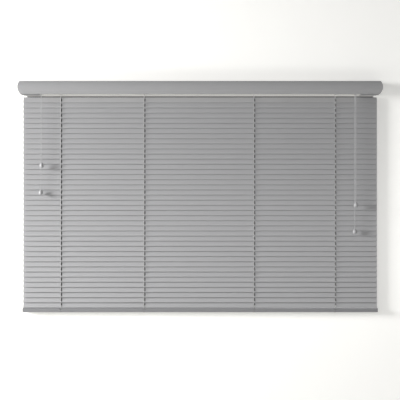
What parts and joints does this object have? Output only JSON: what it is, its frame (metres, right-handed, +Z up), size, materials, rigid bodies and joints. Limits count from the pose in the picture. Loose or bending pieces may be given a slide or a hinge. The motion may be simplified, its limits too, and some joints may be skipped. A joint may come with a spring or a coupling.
{
  "type": "wooden venetian blind",
  "caption": "Wooden venetian blind with grey painted slats on cord ladders, a moulded valance, tilt cords and lift cords; its slats turn together to let in or shut out light.",
  "frame": {"origin": "the middle of the top fixing face of the centre bracket, where the blind is screwed up", "axes": "+X runs along the blind to the right as seen from the room, +Y points away from the room to the window, +Z points up"},
  "size_m": [1.519, 0.0714, 0.9671],
  "materials": {
    "painted_wood": "satin grey paint on wood",
    "tassel_wood": "satin grey paint on turned wood",
    "white_steel": "white powder coat",
    "grey_steel": "grey powder coat",
    "bright_steel": "zinc plated",
    "white_nylon": "moulded nylon",
    "grey_nylon": "moulded acetal",
    "braided_cord": "braided polyester"
  },
  "bodies": {
    "headrail_frame": {"headrail": "white_steel", "mounting_brackets": "grey_steel", "valance": "painted_wood", "drum_cradles": "white_nylon", "tilter_housing": "white_nylon", "cord_lock": "grey_steel", "lift_cords": "braided_cord", "bottom_rail": "painted_wood", "tilt_cords": "braided_cord", "lift_tassels": "tassel_wood"},
    "tilt_shaft": {"tilt_rod": "bright_steel", "tilt_drums": "white_nylon", "tilter_gear": "grey_nylon"},
    "tilter_worm": {"tilter_worm": "grey_nylon"},
    "cord_lock_pawl": {"cord_lock_pawl": "bright_steel"},
    "ladder_front": {"ladder_front_strings": "braided_cord"},
    "ladder_rear": {"ladder_rear_strings": "braided_cord"},
    "tilt_tassel_a": {"tilt_tassel_a": "tassel_wood"},
    "tilt_tassel_b": {"tilt_tassel_b": "tassel_wood"},
    "slat_01": {"slat_01": "painted_wood"},
    "slat_02": {"slat_02": "painted_wood"},
    "slat_03": {"slat_03": "painted_wood"},
    "slat_04": {"slat_04": "painted_wood"},
    "slat_05": {"slat_05": "painted_wood"},
    "slat_06": {"slat_06": "painted_wood"},
    "slat_07": {"slat_07": "painted_wood"},
    "slat_08": {"slat_08": "painted_wood"},
    "slat_09": {"slat_09": "painted_wood"},
    "slat_10": {"slat_10": "painted_wood"},
    "slat_11": {"slat_11": "painted_wood"},
    "slat_12": {"slat_12": "painted_wood"},
    "slat_13": {"slat_13": "painted_wood"},
    "slat_14": {"slat_14": "painted_wood"},
    "slat_15": {"slat_15": "painted_wood"},
    "slat_16": {"slat_16": "painted_wood"},
    "slat_17": {"slat_17": "painted_wood"},
    "slat_18": {"slat_18": "painted_wood"},
    "slat_19": {"slat_19": "painted_wood"},
    "slat_20": {"slat_20": "painted_wood"},
    "slat_21": {"slat_21": "painted_wood"},
    "slat_22": {"slat_22": "painted_wood"},
    "slat_23": {"slat_23": "painted_wood"},
    "slat_24": {"slat_24": "painted_wood"},
    "slat_25": {"slat_25": "painted_wood"},
    "slat_26": {"slat_26": "painted_wood"},
    "slat_27": {"slat_27": "painted_wood"},
    "slat_28": {"slat_28": "painted_wood"},
    "slat_29": {"slat_29": "painted_wood"},
    "slat_30": {"slat_30": "painted_wood"},
    "slat_31": {"slat_31": "painted_wood"},
    "slat_32": {"slat_32": "painted_wood"},
    "slat_33": {"slat_33": "painted_wood"},
    "slat_34": {"slat_34": "painted_wood"},
    "slat_35": {"slat_35": "painted_wood"},
    "slat_36": {"slat_36": "painted_wood"},
    "slat_37": {"slat_37": "painted_wood"},
    "slat_38": {"slat_38": "painted_wood"},
    "slat_39": {"slat_39": "painted_wood"},
    "slat_40": {"slat_40": "painted_wood"},
    "slat_41": {"slat_41": "painted_wood"}
  },
  "joints": [
    {"name": "tilt", "type": "hinge", "parent": "headrail_frame", "child": "tilt_shaft", "pos_m": [0, 0, -0.03051], "axis": [-1, 0, 0], "range_deg": [0, 132]},
    {"name": "worm_turn", "type": "hinge", "parent": "headrail_frame", "child": "tilter_worm", "pos_m": [-0.6634, 0, -0.04215], "axis": [0, 1, 0], "range_deg": [0, 1056]},
    {"name": "ladder_front_hang", "type": "hinge", "parent": "tilt_shaft", "child": "ladder_front", "pos_m": [0, -0.00659, -0.04531], "axis": [-1, 0, 0], "range_deg": [-132, 0]},
    {"name": "ladder_rear_hang", "type": "hinge", "parent": "tilt_shaft", "child": "ladder_rear", "pos_m": [0, 0.00659, -0.0157], "axis": [-1, 0, 0], "range_deg": [-132, 0]},
    {"name": "tilt_tassel_a_pull", "type": "slide", "parent": "headrail_frame", "child": "tilt_tassel_a", "axis": [0, 0, 1], "range_m": [-0.04433, 0], "deforming": ["tilt_cords"]},
    {"name": "tilt_tassel_b_pull", "type": "slide", "parent": "headrail_frame", "child": "tilt_tassel_b", "axis": [0, 0, 1], "range_m": [0, 0.04433], "deforming": ["tilt_cords"]},
    {"name": "cord_lock_pawl_lift", "type": "hinge", "parent": "headrail_frame", "child": "cord_lock_pawl", "pos_m": [0.648, -0.006, -0.03601], "axis": [-1, 0, 0], "range_deg": [0, 25]},
    {"name": "slat_01_tilt", "type": "hinge", "parent": "headrail_frame", "child": "slat_01", "pos_m": [0, 0, -0.07631], "axis": [-1, 0, 0], "range_deg": [0, 132]},
    {"name": "slat_02_tilt", "type": "hinge", "parent": "headrail_frame", "child": "slat_02", "pos_m": [0, 0, -0.09781], "axis": [-1, 0, 0], "range_deg": [0, 132]},
    {"name": "slat_03_tilt", "type": "hinge", "parent": "headrail_frame", "child": "slat_03", "pos_m": [0, 0, -0.11931], "axis": [-1, 0, 0], "range_deg": [0, 132]},
    {"name": "slat_04_tilt", "type": "hinge", "parent": "headrail_frame", "child": "slat_04", "pos_m": [0, 0, -0.14081], "axis": [-1, 0, 0], "range_deg": [0, 132]},
    {"name": "slat_05_tilt", "type": "hinge", "parent": "headrail_frame", "child": "slat_05", "pos_m": [0, 0, -0.16231], "axis": [-1, 0, 0], "range_deg": [0, 132]},
    {"name": "slat_06_tilt", "type": "hinge", "parent": "headrail_frame", "child": "slat_06", "pos_m": [0, 0, -0.18381], "axis": [-1, 0, 0], "range_deg": [0, 132]},
    {"name": "slat_07_tilt", "type": "hinge", "parent": "headrail_frame", "child": "slat_07", "pos_m": [0, 0, -0.20531], "axis": [-1, 0, 0], "range_deg": [0, 132]},
    {"name": "slat_08_tilt", "type": "hinge", "parent": "headrail_frame", "child": "slat_08", "pos_m": [0, 0, -0.22681], "axis": [-1, 0, 0], "range_deg": [0, 132]},
    {"name": "slat_09_tilt", "type": "hinge", "parent": "headrail_frame", "child": "slat_09", "pos_m": [0, 0, -0.24831], "axis": [-1, 0, 0], "range_deg": [0, 132]},
    {"name": "slat_10_tilt", "type": "hinge", "parent": "headrail_frame", "child": "slat_10", "pos_m": [0, 0, -0.26981], "axis": [-1, 0, 0], "range_deg": [0, 132]},
    {"name": "slat_11_tilt", "type": "hinge", "parent": "headrail_frame", "child": "slat_11", "pos_m": [0, 0, -0.29131], "axis": [-1, 0, 0], "range_deg": [0, 132]},
    {"name": "slat_12_tilt", "type": "hinge", "parent": "headrail_frame", "child": "slat_12", "pos_m": [0, 0, -0.31281], "axis": [-1, 0, 0], "range_deg": [0, 132]},
    {"name": "slat_13_tilt", "type": "hinge", "parent": "headrail_frame", "child": "slat_13", "pos_m": [0, 0, -0.33431], "axis": [-1, 0, 0], "range_deg": [0, 132]},
    {"name": "slat_14_tilt", "type": "hinge", "parent": "headrail_frame", "child": "slat_14", "pos_m": [0, 0, -0.35581], "axis": [-1, 0, 0], "range_deg": [0, 132]},
    {"name": "slat_15_tilt", "type": "hinge", "parent": "headrail_frame", "child": "slat_15", "pos_m": [0, 0, -0.37731], "axis": [-1, 0, 0], "range_deg": [0, 132]},
    {"name": "slat_16_tilt", "type": "hinge", "parent": "headrail_frame", "child": "slat_16", "pos_m": [0, 0, -0.39881], "axis": [-1, 0, 0], "range_deg": [0, 132]},
    {"name": "slat_17_tilt", "type": "hinge", "parent": "headrail_frame", "child": "slat_17", "pos_m": [0, 0, -0.42031], "axis": [-1, 0, 0], "range_deg": [0, 132]},
    {"name": "slat_18_tilt", "type": "hinge", "parent": "headrail_frame", "child": "slat_18", "pos_m": [0, 0, -0.44181], "axis": [-1, 0, 0], "range_deg": [0, 132]},
    {"name": "slat_19_tilt", "type": "hinge", "parent": "headrail_frame", "child": "slat_19", "pos_m": [0, 0, -0.46331], "axis": [-1, 0, 0], "range_deg": [0, 132]},
    {"name": "slat_20_tilt", "type": "hinge", "parent": "headrail_frame", "child": "slat_20", "pos_m": [0, 0, -0.48481], "axis": [-1, 0, 0], "range_deg": [0, 132]},
    {"name": "slat_21_tilt", "type": "hinge", "parent": "headrail_frame", "child": "slat_21", "pos_m": [0, 0, -0.50631], "axis": [-1, 0, 0], "range_deg": [0, 132]},
    {"name": "slat_22_tilt", "type": "hinge", "parent": "headrail_frame", "child": "slat_22", "pos_m": [0, 0, -0.52781], "axis": [-1, 0, 0], "range_deg": [0, 132]},
    {"name": "slat_23_tilt", "type": "hinge", "parent": "headrail_frame", "child": "slat_23", "pos_m": [0, 0, -0.54931], "axis": [-1, 0, 0], "range_deg": [0, 132]},
    {"name": "slat_24_tilt", "type": "hinge", "parent": "headrail_frame", "child": "slat_24", "pos_m": [0, 0, -0.57081], "axis": [-1, 0, 0], "range_deg": [0, 132]},
    {"name": "slat_25_tilt", "type": "hinge", "parent": "headrail_frame", "child": "slat_25", "pos_m": [0, 0, -0.59231], "axis": [-1, 0, 0], "range_deg": [0, 132]},
    {"name": "slat_26_tilt", "type": "hinge", "parent": "headrail_frame", "child": "slat_26", "pos_m": [0, 0, -0.61381], "axis": [-1, 0, 0], "range_deg": [0, 132]},
    {"name": "slat_27_tilt", "type": "hinge", "parent": "headrail_frame", "child": "slat_27", "pos_m": [0, 0, -0.63531], "axis": [-1, 0, 0], "range_deg": [0, 132]},
    {"name": "slat_28_tilt", "type": "hinge", "parent": "headrail_frame", "child": "slat_28", "pos_m": [0, 0, -0.65681], "axis": [-1, 0, 0], "range_deg": [0, 132]},
    {"name": "slat_29_tilt", "type": "hinge", "parent": "headrail_frame", "child": "slat_29", "pos_m": [0, 0, -0.67831], "axis": [-1, 0, 0], "range_deg": [0, 132]},
    {"name": "slat_30_tilt", "type": "hinge", "parent": "headrail_frame", "child": "slat_30", "pos_m": [0, 0, -0.69981], "axis": [-1, 0, 0], "range_deg": [0, 132]},
    {"name": "slat_31_tilt", "type": "hinge", "parent": "headrail_frame", "child": "slat_31", "pos_m": [0, 0, -0.72131], "axis": [-1, 0, 0], "range_deg": [0, 132]},
    {"name": "slat_32_tilt", "type": "hinge", "parent": "headrail_frame", "child": "slat_32", "pos_m": [0, 0, -0.74281], "axis": [-1, 0, 0], "range_deg": [0, 132]},
    {"name": "slat_33_tilt", "type": "hinge", "parent": "headrail_frame", "child": "slat_33", "pos_m": [0, 0, -0.76431], "axis": [-1, 0, 0], "range_deg": [0, 132]},
    {"name": "slat_34_tilt", "type": "hinge", "parent": "headrail_frame", "child": "slat_34", "pos_m": [0, 0, -0.78581], "axis": [-1, 0, 0], "range_deg": [0, 132]},
    {"name": "slat_35_tilt", "type": "hinge", "parent": "headrail_frame", "child": "slat_35", "pos_m": [0, 0, -0.80731], "axis": [-1, 0, 0], "range_deg": [0, 132]},
    {"name": "slat_36_tilt", "type": "hinge", "parent": "headrail_frame", "child": "slat_36", "pos_m": [0, 0, -0.82881], "axis": [-1, 0, 0], "range_deg": [0, 132]},
    {"name": "slat_37_tilt", "type": "hinge", "parent": "headrail_frame", "child": "slat_37", "pos_m": [0, 0, -0.85031], "axis": [-1, 0, 0], "range_deg": [0, 132]},
    {"name": "slat_38_tilt", "type": "hinge", "parent": "headrail_frame", "child": "slat_38", "pos_m": [0, 0, -0.87181], "axis": [-1, 0, 0], "range_deg": [0, 132]},
    {"name": "slat_39_tilt", "type": "hinge", "parent": "headrail_frame", "child": "slat_39", "pos_m": [0, 0, -0.89331], "axis": [-1, 0, 0], "range_deg": [0, 132]},
    {"name": "slat_40_tilt", "type": "hinge", "parent": "headrail_frame", "child": "slat_40", "pos_m": [0, 0, -0.91481], "axis": [-1, 0, 0], "range_deg": [0, 132]},
    {"name": "slat_41_tilt", "type": "hinge", "parent": "headrail_frame", "child": "slat_41", "pos_m": [0, 0, -0.93631], "axis": [-1, 0, 0], "range_deg": [0, 132]}
  ],
  "couplings": [
    {"joint": "worm_turn", "follows": "tilt", "ratio": 8},
    {"joint": "ladder_front_hang", "follows": "tilt", "ratio": -1},
    {"joint": "ladder_rear_hang", "follows": "tilt", "ratio": -1},
    {"joint": "tilt_tassel_a_pull", "follows": "tilt", "m_per_rad": -0.0192},
    {"joint": "tilt_tassel_b_pull", "follows": "tilt", "m_per_rad": 0.0192},
    {"joint": "slat_01_tilt", "follows": "tilt", "ratio": 1},
    {"joint": "slat_02_tilt", "follows": "tilt", "ratio": 1},
    {"joint": "slat_03_tilt", "follows": "tilt", "ratio": 1},
    {"joint": "slat_04_tilt", "follows": "tilt", "ratio": 1},
    {"joint": "slat_05_tilt", "follows": "tilt", "ratio": 1},
    {"joint": "slat_06_tilt", "follows": "tilt", "ratio": 1},
    {"joint": "slat_07_tilt", "follows": "tilt", "ratio": 1},
    {"joint": "slat_08_tilt", "follows": "tilt", "ratio": 1},
    {"joint": "slat_09_tilt", "follows": "tilt", "ratio": 1},
    {"joint": "slat_10_tilt", "follows": "tilt", "ratio": 1},
    {"joint": "slat_11_tilt", "follows": "tilt", "ratio": 1},
    {"joint": "slat_12_tilt", "follows": "tilt", "ratio": 1},
    {"joint": "slat_13_tilt", "follows": "tilt", "ratio": 1},
    {"joint": "slat_14_tilt", "follows": "tilt", "ratio": 1},
    {"joint": "slat_15_tilt", "follows": "tilt", "ratio": 1},
    {"joint": "slat_16_tilt", "follows": "tilt", "ratio": 1},
    {"joint": "slat_17_tilt", "follows": "tilt", "ratio": 1},
    {"joint": "slat_18_tilt", "follows": "tilt", "ratio": 1},
    {"joint": "slat_19_tilt", "follows": "tilt", "ratio": 1},
    {"joint": "slat_20_tilt", "follows": "tilt", "ratio": 1},
    {"joint": "slat_21_tilt", "follows": "tilt", "ratio": 1},
    {"joint": "slat_22_tilt", "follows": "tilt", "ratio": 1},
    {"joint": "slat_23_tilt", "follows": "tilt", "ratio": 1},
    {"joint": "slat_24_tilt", "follows": "tilt", "ratio": 1},
    {"joint": "slat_25_tilt", "follows": "tilt", "ratio": 1},
    {"joint": "slat_26_tilt", "follows": "tilt", "ratio": 1},
    {"joint": "slat_27_tilt", "follows": "tilt", "ratio": 1},
    {"joint": "slat_28_tilt", "follows": "tilt", "ratio": 1},
    {"joint": "slat_29_tilt", "follows": "tilt", "ratio": 1},
    {"joint": "slat_30_tilt", "follows": "tilt", "ratio": 1},
    {"joint": "slat_31_tilt", "follows": "tilt", "ratio": 1},
    {"joint": "slat_32_tilt", "follows": "tilt", "ratio": 1},
    {"joint": "slat_33_tilt", "follows": "tilt", "ratio": 1},
    {"joint": "slat_34_tilt", "follows": "tilt", "ratio": 1},
    {"joint": "slat_35_tilt", "follows": "tilt", "ratio": 1},
    {"joint": "slat_36_tilt", "follows": "tilt", "ratio": 1},
    {"joint": "slat_37_tilt", "follows": "tilt", "ratio": 1},
    {"joint": "slat_38_tilt", "follows": "tilt", "ratio": 1},
    {"joint": "slat_39_tilt", "follows": "tilt", "ratio": 1},
    {"joint": "slat_40_tilt", "follows": "tilt", "ratio": 1},
    {"joint": "slat_41_tilt", "follows": "tilt", "ratio": 1}
  ]
}
